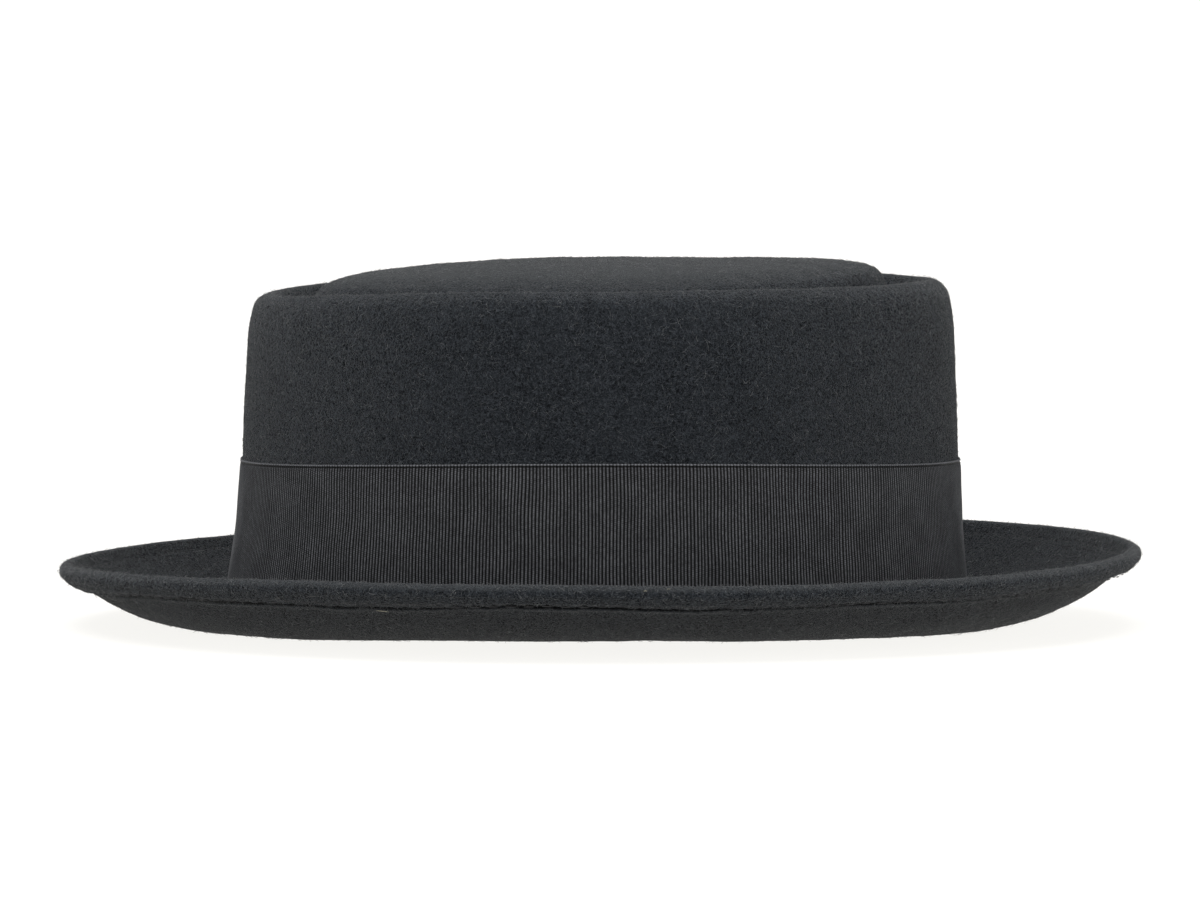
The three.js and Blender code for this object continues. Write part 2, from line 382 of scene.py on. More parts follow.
class Rings:
    """Rings of the felt's section, with each ring's loose fibres, its lighter tone of wear and painted
    highlight, its painted shade and its share of the bake's map."""

    def __init__(self, rings, nap=0.0, rubbed_and_painted_highlight=0.0, crease=0.0, map_share=1.0):
        self.rings = np.array(rings)
        count, columns = self.rings.shape[:2]
        self.nap = np.broadcast_to(nap, count)
        self.rubbed_and_painted_highlight = np.broadcast_to(rubbed_and_painted_highlight, count)
        self.crease = np.broadcast_to(crease, (count, columns))
        self.map_share = np.broadcast_to(map_share, count)

    def above(self, height):
        """The same rings, kept from going below a height."""
        self.rings[..., 1] = np.maximum(self.rings[..., 1], height)
        return self


def hem_groups(brim, width, lift, phase):
    """The brim's edge turned under: the fold, the hem's face, its cut edge and the slit above."""
    under_brim = FELT + HEM_GAP
    level = np.zeros_like(width)

    def hem_ring(share, thickness):
        """A ring at a share of the hem's width, that many millimetres out from its back."""
        inwards = width * share
        raised = HEM_GAP + lift * share ** 2
        pressed = 1 - (1 - RAW_EDGE / FELT) * smoothstep(share * 2 - 1)
        pulled = groove(inwards, phase, HEM_GROOVE) * (thickness / FELT)
        return brim.at(inwards, FELT + raised + thickness * pressed - pulled)

    cut = []
    for i in range(CUT_RINGS + 1):
        turned = math.pi * (i / CUT_RINGS)
        across = FELT * (0.5 + RAW_EDGE_FACE * math.cos(turned))
        cut.append(hem_ring(1 + RAW_EDGE_BULGE * math.sin(turned) / HEM_WIDTH, across))
    slit = [hem_ring(share, 0) for share in SLIT_RINGS]
    # The hem's face is painted a little darker and the slit black, as shade
    return [
        Rings(brim.fold(level, level + under_brim + FELT, FOLD_RINGS), nap=HEM_NAP),
        Rings([hem_ring(share, FELT) for share in HEM_RINGS], nap=HEM_NAP, crease=HEM_SHADE),
        Rings(cut, nap=RAW_EDGE_NAP),
        Rings(slit + brim.fold(level + FELT, level + under_brim, 2), crease=1),
    ]


def underside_groups(brim, width, open_channel):
    """The brim's underside: the part that the hem covers, the channel, and the rest."""
    covered = [brim.at(width * share, FELT) for share in (0, 0.5)]
    channel = [brim.at(width + row["past"], FELT + row["swell"] * open_channel) for row in CHANNEL]
    darker = np.array([row["crease"] for row in CHANNEL]) - UNDERSIDE_SHADE
    reached = width + CHANNEL[-1]["past"]
    shares = np.linspace(0, 1, INNER_BRIM_RINGS, endpoint=False)[1:]
    rest = [brim.at(reached + (brim.length - reached) * share, FELT) for share in shares]
    # The covered part is painted black and the rest darker, as shade; the channel is painted darker
    # still as shade, and its ridge lighter as wear and painted highlight
    return [
        Rings(covered, nap=UNDER_BRIM_NAP, crease=1),
        Rings(
            channel,
            nap=UNDER_BRIM_NAP,
            rubbed_and_painted_highlight=[row["rubbed_and_painted_highlight"] for row in CHANNEL],
            crease=UNDERSIDE_SHADE + np.outer(darker, open_channel),
        ),
        Rings(rest, nap=UNDER_BRIM_NAP, crease=UNDERSIDE_SHADE),
    ]


def felt_section(angle, phase):
    """The felt's closed section at each column, as groups of rings from the middle of the top
    outwards, round the brim's edge and back inside."""
    stretches = [even_rows(row["first"], row["last"], row["rings"])[:-1] for row in CROWN_STRETCHES]
    rows = np.concatenate(stretches + [[row_number("break")]])
    smooth = crown_curve(angle, rows)
    into = into_felt(smooth)
    dents = unevenness(place(angle, smooth)) * np.minimum(1, rows / row_number("island top"))[:, None]
    crown = smooth + into * dents[..., None]
    crown_nap = [row["nap"] for row in CROWN_STRETCHES for _ in range(row["rings"])]
    crown_rubbed_and_painted_highlight = [row["rubbed_and_painted_highlight"] for row in CROWN_STRETCHES for _ in range(row["rings"])]

    brim = Brim(angle, smooth[-1])
    far_shares = np.linspace(1, 0, OUTER_BRIM_RINGS, endpoint=False)[1:]
    far_in = [NEAR_EDGE[-1] + (brim.length - NEAR_EDGE[-1]) * share for share in far_shares]
    near_in = [np.full_like(angle, inwards) for inwards in reversed(NEAR_EDGE)]
    upper = [brim.at(inwards, groove(inwards, phase, UPPER_GROOVE)) for inwards in far_in + near_in]

    inner_crown = smooth + into * (dents + FELT)[..., None]
    inner_crown[0] = smooth[0] - np.array([0, FELT])
    inner = inner_crown[::INNER_CROWN_STEP][::-1]

    width, lift = hem_shape(angle, phase)
    # The crown is painted lighter where rubbed, as wear and as painted highlight, and the upper brim
    # darker, as painted shade
    top = [
        Rings(crown, nap=crown_nap + [BRIM_NAP], rubbed_and_painted_highlight=crown_rubbed_and_painted_highlight + [0.0]),
        Rings(upper, nap=BRIM_NAP, crease=UPPER_BRIM_SHADE),
    ]
    below = underside_groups(brim, width, channel_depth(angle))
    below.append(Rings(inner, map_share=INSIDE_MAP_SHARE))
    return (
        [group.above(FELT) for group in top]
        + hem_groups(brim, width, lift, phase)
        + [group.above(0) for group in below]
    )


def sharpness(line):
    """How sharply a section turns outwards at each of its points, for the fuzz on its edges, and
    how much of that faces upwards, for wear and a painted highlight where light from above falls."""
    steps = np.diff(line, axis=0)
    ahead = unit(steps)
    turn = ahead[:-1, 1] * ahead[1:, 0] - ahead[:-1, 0] * ahead[1:, 1]
    spacing = np.linalg.norm(steps[:-1] + steps[1:], axis=1) / 2 + EDGE_SPREAD
    bend = np.clip(turn / spacing, 0, SHARPEST_EDGE)
    upwards = smoothstep((ahead[:-1, 0] + ahead[1:, 0]) * 0.8 + 0.2)
    ends = ((1, 1),)
    return np.pad(bend, ends), np.pad(bend * upwards, ends)


def mesh_piece(name, points, faces, finish, slot=None, smooth=True):
    """An object on the hat, from points in millimetres and the faces that join them."""
    mesh = bpy.data.meshes.new(name)
    mesh.from_pydata((np.asarray(points, float) * MM).tolist(), [], faces)
    mesh.update()
    if smooth:
        mesh.shade_smooth()
    mesh.materials.append(finish)
    piece = bpy.data.objects.new(name, mesh)
    bpy.context.scene.collection.objects.link(piece)
    if slot:
        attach(piece, "root")
    return piece


def carry(piece, **values):
    """Gives a piece's points values that its material reads by name."""
    for name, numbers in values.items():
        layer = piece.data.attributes.new(name, "FLOAT", "POINT")
        layer.data.foreach_set("value", np.asarray(numbers, np.float32).ravel())


def strip_map(ring_at, columns, strips):
    """Bake map corners (rings, columns, 4, 2) of a grid's quads, cut into strips that lie one
    above the other. ring_at is where each ring comes across a strip, from 0 to 1."""
    in_strip = math.ceil(columns / strips)
    column = np.arange(columns)
    strip = column // in_strip
    left = (column % in_strip) / in_strip
    right = left + 1 / in_strip
    near = (strip[None, :] + ring_at[:-1, None] * MAP_FILL) / strips
    far = (strip[None, :] + ring_at[1:, None] * MAP_FILL) / strips
    left, right = (np.broadcast_to(side * MAP_FILL, near.shape) for side in (left, right))
    corners = [(left, near), (left, far), (right, far), (right, near)]
    return np.stack([np.stack(corner, -1) for corner in corners], -2)


def give_map(piece, corners):
    """Adds the bake map, from one (u, v) for each face corner in the order of the faces."""
    layer = piece.data.uv_layers.new(name="OFBake")
    layer.data.foreach_set("uv", corners.astype(np.float32).ravel())


def felt_body(finish):
    """The crown and brim, blocked from one felt hood, with the brim's edge turned under."""
    angle = even_angles(COLUMNS)
    phase = (np.arange(COLUMNS) % COLUMNS_PER_STITCH) / COLUMNS_PER_STITCH
    groups = felt_section(angle, phase)
    section, fibres, rubbed_and_painted_highlight, crease, map_share = (
        np.concatenate([getattr(group, value) for group in groups])
        for value in ("rings", "nap", "rubbed_and_painted_highlight", "crease", "map_share")
    )
    side = section[:, COLUMNS // 4]
    edges, worn_and_painted_highlight = sharpness(side)
    grid = place(angle, section)
    rings = len(grid)
    between = grid[1:-1].reshape(-1, 3)
    points = np.concatenate([grid[0, :1], between, grid[-1, :1]])
    ring = np.arange(rings - 3)[:, None] * COLUMNS + 1
    column = np.arange(COLUMNS)[None, :]
    following = (column + 1) % COLUMNS
    next_ring = ring + COLUMNS
    corners = [ring + column, next_ring + column, next_ring + following, ring + following]
    quads = np.stack(corners, -1)
    last = len(points) - 1
    inner_ring = last - COLUMNS
    top = [[0, 1 + c, 1 + (c + 1) % COLUMNS] for c in range(COLUMNS)]
    bottom = [[last, inner_ring + (c + 1) % COLUMNS, inner_ring + c] for c in range(COLUMNS)]
    faces = quads.reshape(-1, 4).tolist() + top + bottom
    piece = mesh_piece("felt_hat", points, faces, finish, "felt")
    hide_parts("felt_body")

    spacing = np.linalg.norm(np.diff(side, axis=0), axis=1) * map_share[1:]
    ring_at = np.concatenate([[0], np.cumsum(spacing)]) / spacing.sum()
    corners = strip_map(ring_at, COLUMNS, FELT_STRIPS)
    face_maps = [corners[1:-1], corners[0][:, [0, 1, 2]], corners[-1][:, [1, 3, 0]]]
    give_map(piece, np.concatenate([face_map.reshape(-1, 2) for face_map in face_maps]))
    # The points carry the lighter tone of wear and painted highlight and the darker tone of painted
    # shade
    wear_and_painted_highlight = np.broadcast_to(np.maximum(worn_and_painted_highlight, rubbed_and_painted_highlight)[:, None], crease.shape)
    for name, values in (("wear_and_painted_highlight", wear_and_painted_highlight), ("crease", crease)):
        of_points = np.concatenate([values[0, :1], values[1:-1].ravel(), values[-1, :1]])
        carry(piece, **{name: of_points})
    return grid, fibres, edges


def tubes(paths, radii, sides, facing):
    """Points and faces of closed tubes along paths (tubes, steps, 3), with a radius at each step."""
    count, steps, _ = paths.shape
    along = unit(np.gradient(paths, axis=1))
    side = unit(np.cross(along, facing[:, None, :]))
    other = np.cross(side, along)
    turn = TURN * np.arange(sides) / sides
    spread = radii[..., None, None] * (
        np.cos(turn)[None, None, :, None] * side[:, :, None, :]
        + np.sin(turn)[None, None, :, None] * other[:, :, None, :]
    )
    points = (paths[:, :, None, :] + spread).reshape(-1, 3)
    start = (np.arange(count) * steps * sides)[:, None, None]
    step = (np.arange(steps - 1) * sides)[None, :, None]
    at = np.arange(sides)[None, None, :]
    following = (at + 1) % sides
    base = start + step
    quads = np.stack([base + at, base + following, base + sides + following, base + sides + at], -1)
    firsts = (start[:, 0] + np.arange(sides)[::-1]).tolist()
    lasts = (start[:, 0] + (steps - 1) * sides + np.arange(sides)).tolist()
    return points, quads.reshape(-1, 4).tolist() + firsts + lasts


def hem_stitches(finish):
    """The short dashes of thread that hold the hem, on the brim's face and on the hem."""
    fine_angles = even_angles(STITCHES * STEPS_ALONG_PITCH)
    middles = np.arange(STITCHES) * STEPS_ALONG_PITCH
    reach = np.linspace(-0.5, 0.5, STITCH_POINTS) * STITCH_SHARE
    index = (middles[:, None] + reach[None, :] * STEPS_ALONG_PITCH).round().astype(int)
    angle = fine_angles[index.ravel() % len(fine_angles)]
    phase = np.tile(reach, STITCHES)
    brim = Brim(angle, crown_curve(angle, np.array([row_number("break")]))[0])
    width, lift = hem_shape(angle, phase)
    rng = np.random.default_rng(STITCH_SEED)
    inwards = STITCH_LINE + np.repeat(rng.normal(0, STITCH_SWAY, STITCHES), STITCH_POINTS)
    from_middle = np.abs(np.linspace(-1, 1, STITCH_POINTS))
    proud = STITCH_PROUD - np.tile(STITCH_DIVE * from_middle ** 3, STITCHES)
    radii = np.tile(THREAD_RADIUS * np.sqrt(1 - THREAD_TAPER * from_middle ** 4), (STITCHES, 1))
    upper_depth = groove(inwards, phase, UPPER_GROOVE) - proud
    raised = HEM_GAP + lift * (inwards / width) ** 2
    under_depth = 2 * FELT + raised - groove(inwards, phase, HEM_GROOVE) + proud
    upwards = np.tile(UPWARDS, (STITCHES, 1))
    for name, depth in (("stitches_on_brim", upper_depth), ("stitches_on_hem", under_depth)):
        paths = place(angle, brim.at(inwards, depth)).reshape(STITCHES, STITCH_POINTS, 3)
        points, faces = tubes(paths, radii, sides=6, facing=upwards)
        mesh_piece(name, points, faces, finish, "felt")


# The ribbon's sizes
RIB_PITCH = 0.96
RIB_RELIEF = 0.26
RIB_ROUNDNESS = 0.8
RIB_SWAY = 0.11  # how far the ribs wander from even spacing
RIB_LEAN = 0.15  # how far they lean one way and the other
SWAY_LUMPS = dict(size=3, seed=52)
LEAN_LUMPS = dict(size=16, seed=51)
WARP_PITCH = 0.52  # of the threads that run along the ribbon, over and under the ribs
RIBBON_THICKNESS = 0.3
RIBBON_STANDOFF = 0.08  # from the felt to the ribbon's back
FOOT_FLARE = (1.7, 0.4, 0.95)  # how far its lower edge stands off, at the back, sides and front
FLARE_HEIGHT = 30
RIBBON_LAP = 21
LAP_CLIMB = 4  # the length in which the upper end climbs onto the lower
LAP_GAP = 0.1
LAP_ROLL = 0.4  # how far the upper end stands out where it is turned under
LAP_ROLL_IN = 1.1
# Painted shade where the upper end turns under
END_PAINTED_SHADE = 0.85  # of the upper end's very edge
END_PAINTED_SHADE_WIDTH = 0.35
TACKS = 11  # stitches that hold the upper end
TACK_SEED = 61
TACK_LENGTH = 1.6
TACK_OVERHANG = 0.5  # how far they reach past the end
TACK_BOW = 0.25
TACK_SLANT = (0.5, 0.9)  # how much higher their inner ends are
TACK_DIVE = 0.2  # how deep they go in at the ribbon's end
TACK_RISE = 0.1  # and how much less deep at their inner ends
TACK_RADIUS = 0.12
RIBBON_FINE_ROWS = 60
ROW_STEP = 0.02  # of the crown's table, over which the felt's slope under the ribbon is read
COLUMNS_PER_RIB = 4
RIBBON_STRIPS = 4  # of the bake's map
FACE_MAP_SHARE = 0.9  # of each strip, for the side that shows
# From an edge of the ribbon inwards: the woven edge cord, the dark row beside it, and the ribs.
# relief is the share of the ribs' height, stand how far the row stands out, and tone how bright it
# is painted: lighter on the raised cord as a highlight, darker at the sunken edge and dark row as
# shade.
SELVEDGE = [
    dict(at="edge", inwards=0.0, relief=0.1, stand=-0.2, tone=0.8),
    dict(at="cord side", inwards=0.12, relief=0.6, stand=0.04, tone=2.0),
    dict(at="cord", inwards=0.42, relief=0.7, stand=0.1, tone=2.0),
    dict(at="dark row", inwards=0.58, relief=0.2, stand=-0.12, tone=0.15),
    dict(at="dark row's end", inwards=0.9, relief=0.2, stand=-0.12, tone=0.15),
    dict(at="check", inwards=1.15, relief=0.8, stand=-0.02, tone=1.0),
    dict(at="check end", inwards=1.55, relief=0.75, stand=-0.03, tone=0.8),
    dict(at="first ribs", inwards=2.1, relief=1.0, stand=0.0, tone=1.0),
]
RIBBON_MIDDLE_ROWS = 9
BACK_INSET = 0.1
# How dark the ribbon's back is painted, as shade where it lies against the felt
BACK_PAINTED_SHADE = 0.5


def ribbon_rows(width):
    """The ribbon's rows across its width: the face's, from the upper edge down, and the back's."""
    middle = np.linspace(SELVEDGE[-1]["inwards"], width / 2, RIBBON_MIDDLE_ROWS)[1:]
    half = SELVEDGE + [dict(SELVEDGE[-1], inwards=inwards) for inwards in middle]
    face = half + [dict(row, inwards=width - row["inwards"]) for row in reversed(half[:-1])]
    back = [
        dict(inwards=inwards, tone=BACK_PAINTED_SHADE)
        for inwards in (width - BACK_INSET, width / 2, BACK_INSET)
    ]
    return face, back


def ribbon_map(piece, face_across, back_across, columns, width):
    """The ribbon's bake map: the face, then the back, then the two ends."""
    back_share = np.linspace(0, 1, len(back_across) + 2)[1:]
    face_at = face_across / width * FACE_MAP_SHARE
    ring_at = np.concatenate([face_at, FACE_MAP_SHARE + (1 - FACE_MAP_SHARE) * back_share])
    corners = strip_map(ring_at, columns - 1, RIBBON_STRIPS).reshape(-1, 2)
    across = np.concatenate([face_across, back_across])
    side = np.where(np.arange(len(across)) < len(face_across), MAP_FILL, 1)
    end = np.stack([side, across / width * MAP_FILL], -1)
    give_map(piece, np.concatenate([corners, end[::-1], end]))


def ribbon_band(finish):
    """One ribbon round the foot of the crown, its upper end lapped on the lower."""
    rows = even_rows("ribbon top", "ribbon foot", RIBBON_FINE_ROWS)
    middle = RIBBON_FINE_ROWS // 2
    along_middle = crown_curve(FINE_TURN, rows[middle:middle + 1])[0]
    lengths = lengths_along(place(FINE_TURN, along_middle))
    girth = lengths[-1]
    start = np.interp(TURN / 4, FINE_TURN, lengths) - RIBBON_LAP / 2
    ribs = round((girth + RIBBON_LAP) / RIB_PITCH)
    travel = np.linspace(0, girth + RIBBON_LAP, ribs * COLUMNS_PER_RIB + 1)
    phase = np.arange(len(travel)) / COLUMNS_PER_RIB
    relief = RIB_RELIEF * np.abs(np.sin(math.pi * phase)) ** RIB_ROUNDNESS
    lapped = smoothstep((travel - girth + LAP_CLIMB) / LAP_CLIMB)
    to_end = girth + RIBBON_LAP - travel
    turned_under = LAP_ROLL * np.exp(-(((to_end - LAP_ROLL_IN) / LAP_ROLL_IN) ** 2))
    layer = lapped * (RIBBON_THICKNESS + RIB_RELIEF + LAP_GAP) + turned_under
    # Painted shade along the upper end's very edge, where it turns under
    end_painted_shade = 1 - END_PAINTED_SHADE * np.exp(-((to_end / END_PAINTED_SHADE_WIDTH) ** 2))

    down = lengths_along(side_section(rows))
    width = down[-1]
    face_rows, back_rows = ribbon_rows(width)

    def ring(across, outwards):
        """A row of points along the ribbon, at a distance across it and heights off the felt."""
        at = np.interp(across, down, rows)
        woven = np.stack([travel, np.full_like(travel, across), np.zeros_like(travel)], -1)
        sway = RIB_LEAN * lumps(woven, **LEAN_LUMPS) + RIB_SWAY * lumps(woven * [1, 0, 0], **SWAY_LUMPS)
        angle = np.interp((start + travel + sway) % girth, lengths, FINE_TURN)
        section = crown_curve(angle, np.array([at - ROW_STEP, at, at + ROW_STEP]))
        into = into_felt(section)[1]
        felt_in = unevenness(place(angle, section[1]))
        flare = around(FOOT_FLARE, angle) * smoothstep(1 - (width - across) / FLARE_HEIGHT)
        return place(angle, section[1] + into * (felt_in - outwards - flare)[:, None])

    rings = []
    for row in face_rows:
        face = RIBBON_STANDOFF + RIBBON_THICKNESS + row["stand"] + layer
        rings.append(ring(row["inwards"], face + relief * row["relief"]))
    for row in back_rows:
        rings.append(ring(row["inwards"], RIBBON_STANDOFF + layer))
    grid = np.array(rings)
    count, columns = grid.shape[:2]
    row = np.arange(count)[:, None] * columns
    next_row = ((np.arange(count) + 1) % count)[:, None] * columns
    column = np.arange(columns - 1)[None, :]
    corners = [row + column, next_row + column, next_row + column + 1, row + column + 1]
    first_end = (np.arange(count) * columns)[::-1].tolist()
    last_end = (np.arange(count) * columns + columns - 1).tolist()
    faces = np.stack(corners, -1).reshape(-1, 4).tolist() + [first_end, last_end]
    piece = mesh_piece("ribbon", grid.reshape(-1, 3), faces, finish, "grosgrain")
    across = np.array([row["inwards"] for row in face_rows + back_rows])
    # Each row's painted light and shade, darkened further by painted shade at the upper end's edge
    tones = np.array([row["tone"] for row in face_rows + back_rows])
    carry(piece, across=np.repeat(across, columns))
    carry(piece, tone=np.outer(tones, end_painted_shade))
    carry(piece, rib=np.tile(phase, count))
    ribbon_map(piece, across[:len(face_rows)], across[len(face_rows):], columns, width)
    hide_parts("ribbon_band")
    return grid[:len(face_rows)]


def lap_tacks(face, finish):
    """The slanting stitches that hold the ribbon's upper end down on the lower one."""
    rng = np.random.default_rng(TACK_SEED)
    rows = np.linspace(1, len(face) - 2, TACKS).astype(int)
    ends = face[rows, -1]
    inwards = unit(face[rows, -6] - ends)
    outwards = unit(np.cross(UPWARDS, inwards))
    outwards = outwards * np.sign((outwards * ends).sum(-1, keepdims=True))
    share = np.linspace(0, 1, STITCH_POINTS)[None, :, None]
    bow = 4 * share * (1 - share)
    slant = rng.uniform(*TACK_SLANT, (TACKS, 1, 1))
    paths = (
        ends[:, None]
        + inwards[:, None] * (share * TACK_LENGTH - TACK_OVERHANG)
        + UPWARDS * share * slant
        + outwards[:, None] * (bow * TACK_BOW + share * TACK_RISE - TACK_DIVE)
    )
    radii = np.full((TACKS, STITCH_POINTS), TACK_RADIUS)
    points, faces = tubes(paths, radii, sides=5, facing=outwards)
    mesh_piece("tacks_on_lap", points, faces, finish, "grosgrain")


def surface_sample(grid, weights, count, seed):
    """Random points of a surface of rings, with its outward and its two sideways directions."""
    rng = np.random.default_rng(seed)
    here = grid[:-1]
    beyond = grid[1:]
    down = beyond - here
    on = np.roll(here, -1, axis=1) - here
    areas = np.linalg.norm(np.cross(down, on), axis=-1) * weights[:-1, None]
    chosen = rng.choice(areas.size, count, p=(areas / areas.sum()).ravel())
    ring, column = np.unravel_index(chosen, areas.shape)
    u, v = rng.random((2, count, 1))
    points = here[ring, column] + down[ring, column] * u + on[ring, column] * v
    outwards = unit(np.cross(down[ring, column], on[ring, column]))
    sideways = unit(on[ring, column])
    return points, outwards, sideways, rng


NAP_CLEARANCE = 0.05  # over the surface that the hat rests on
NAP_POINTS = (0, 0.35, 0.7, 1.0)  # along a fibre
NAP_THINNING = (1.0, 0.95, 0.7, 0.15)  # its thickness at these points
NAP_RADIUS = (0.022, 0.042)
# How fibres differ: in length and height, as shares of what nap() is told, in how far they droop
# and in how far they bend aside
NAP_REACH = (0.5, 1.5)
NAP_LIFT = (0.2, 1.8)
NAP_DROOP = (0.4, 1.0)
NAP_BEND = 0.5


def nap(name, grid, weights, finish, count, seed, length, lift):
    """Fine curled fibres that stand off the felt, as in its raised nap."""
    points, outwards, sideways, rng = surface_sample(grid, weights, count, seed)
    turn = rng.uniform(0, TURN, (count, 1))
    other = np.cross(outwards, sideways)
    ahead = np.cos(turn) * sideways + np.sin(turn) * other
    aside = np.cross(outwards, ahead)
    share = np.array(NAP_POINTS)[None, :, None]
    reach = (length * rng.uniform(*NAP_REACH, count))[:, None, None]
    bend = rng.normal(0, NAP_BEND, count)[:, None, None]
    height = (lift * rng.uniform(*NAP_LIFT, count))[:, None, None]
    droop = rng.uniform(*NAP_DROOP, count)[:, None, None]
    paths = (
        points[:, None, :]
        + ahead[:, None, :] * reach * share
        + aside[:, None, :] * reach * bend * share ** 2
        + outwards[:, None, :] * height * (share * 2 - share ** 2 * 2 * droop)
    )
    paths[..., 2] = np.maximum(paths[..., 2], NAP_CLEARANCE)
    radii = rng.uniform(*NAP_RADIUS, (count, 1)) * np.array([NAP_THINNING])
    made, faces = tubes(paths, radii, sides=3, facing=outwards)
    mesh_piece(name, made, faces, finish, "felt")


# Lint and single hairs that lie on the near side, by where they start and end in the photograph.
# thick is their thickness and curl how far they bow, in millimetres.
LINT = [
    dict(kind="pale", start=(376, 611), end=(389, 612), thick=0.2, curl=0.7),
    dict(kind="pale", start=(644, 591), end=(647, 591), thick=0.22, curl=0.1),
    dict(kind="pale", start=(667, 590), end=(670, 590), thick=0.18, curl=0.1),
    dict(kind="hair", start=(545, 590), end=(552, 586), thick=0.1, curl=0.6),
    dict(kind="hair", start=(787, 605), end=(795, 598), thick=0.09, curl=0.5),
    dict(kind="hair", start=(306, 599), end=(320, 597), thick=0.08, curl=0.8),
    dict(kind="hair", start=(275, 600), end=(281, 598), thick=0.08, curl=0.4),
    dict(kind="hair", start=(1083, 597), end=(1085, 592), thick=0.09, curl=0.9),
    dict(kind="hair", start=(1092, 594), end=(1097, 592), thick=0.08, curl=0.5),
    dict(kind="hair", start=(72, 583), end=(77, 584), thick=0.09, curl=1.0),
    dict(kind="hair", start=(233, 572), end=(236, 567), thick=0.1, curl=0.4),
    dict(kind="hair", start=(235, 572), end=(239, 568), thick=0.1, curl=-0.4),
]
LINT_STEPS = 9
LINT_STANDOFF = 0.05
LINT_RISE = 0.3  # how far its middle stands off the felt
LINT_THINNING = 0.4  # its thickness at its ends, as a share of its middle's
LEAST_FACING = 0.1  # how squarely the felt under it has to face the camera's side
NEARNESS = 0.5  # how many pixels off its place it may be for each millimetre nearer


def seen(points):
    """Where points in millimetres come in the photograph's frame, and how far from the camera."""
    offset = points - np.array(CAMERA_AT) / MM
    ahead = unit((np.array(CAMERA_AIM) - np.array(CAMERA_AT)) / MM)
    right = np.array([1.0, 0.0, 0.0])
    distance = offset @ ahead
    scale = LENS / SENSOR * FRAME[0] / distance
    across = FRAME[0] / 2 + offset @ right * scale
    down = FRAME[1] / 2 - offset @ np.cross(right, ahead) * scale
    return np.stack([across, down], -1), distance


def lint(skin, shown, pale, hair):
    """Lint and hairs on the felt of the near side, each from one point of its skin to another."""
    following = np.roll(skin, -1, axis=1)
    outwards = unit(np.cross(np.gradient(skin, axis=0), following - skin))
    spots, distance = seen(skin)
    turned_away = (outwards[..., 1] > -LEAST_FACING) | ~shown[:, None]
    next_spots = np.roll(spots, -1, axis=1)

    def on_felt(target):
        """The felt's point that shows at a place in the photograph, and its outward direction."""
        away = np.linalg.norm(spots - target, axis=-1) + distance * NEARNESS + turned_away * 1e6
        at = np.unravel_index(np.argmin(away), away.shape)
        share = (target[0] - spots[at][0]) / (next_spots[at][0] - spots[at][0])
        return skin[at] + (following[at] - skin[at]) * np.clip(share, -1, 1), outwards[at]

    share = np.linspace(0, 1, LINT_STEPS)[:, None]
    bow = 4 * share * (1 - share)
    for kind, finish in (("pale", pale), ("hair", hair)):
        paths, radii, facing = [], [], []
        for row in LINT:
            if row["kind"] == kind:
                start, out = on_felt(np.array(row["start"], float))
                end, _ = on_felt(np.array(row["end"], float))
                bowed = unit(np.cross(out, end - start)) * row["curl"] + out * LINT_RISE
                paths.append(start + (end - start) * share + bowed * bow + out * LINT_STANDOFF)
                radii.append(row["thick"] / 2 * (LINT_THINNING + (1 - LINT_THINNING) * bow[:, 0]))
                facing.append(out)
        paths, radii, facing = np.array(paths), np.array(radii), np.array(facing)
        points, faces = tubes(paths, radii, sides=5, facing=facing)
        mesh_piece(f"{kind}_lint", points, faces, finish, "felt")


class Value:
    """A number that varies over a surface. Arithmetic on it adds Math nodes to its material."""

    def __init__(self, finish, socket):
        self.finish = finish
        self.socket = socket

    def maths(self, operation, first, second=0.0):
        """One Math node, on numbers or varying values."""
        inputs = {"Value": first, "Value_001": second}
        return self.finish.node("ShaderNodeMath", {"operation": operation}, inputs)["Value"]

    def __add__(self, other):
        return self.maths("ADD", self, other)

    def __sub__(self, other):
        return self.maths("SUBTRACT", self, other)

    def __rsub__(self, other):
        return self.maths("SUBTRACT", other, self)

    def __mul__(self, other):
        return self.maths("MULTIPLY", self, other)

    def __abs__(self):
        return self.maths("ABSOLUTE", self)

    def sine(self):
        return self.maths("SINE", self)

    def rising(self, low, high):
        """0 below low and 1 above high, with a smooth rise between them."""
        settings = {"interpolation_type": "SMOOTHSTEP"}
        inputs = {"Value": self, "From Min": low, "From Max": high}
        return self.finish.node("ShaderNodeMapRange", settings, inputs)["Result"]

    __radd__ = __add__
    __rmul__ = __mul__


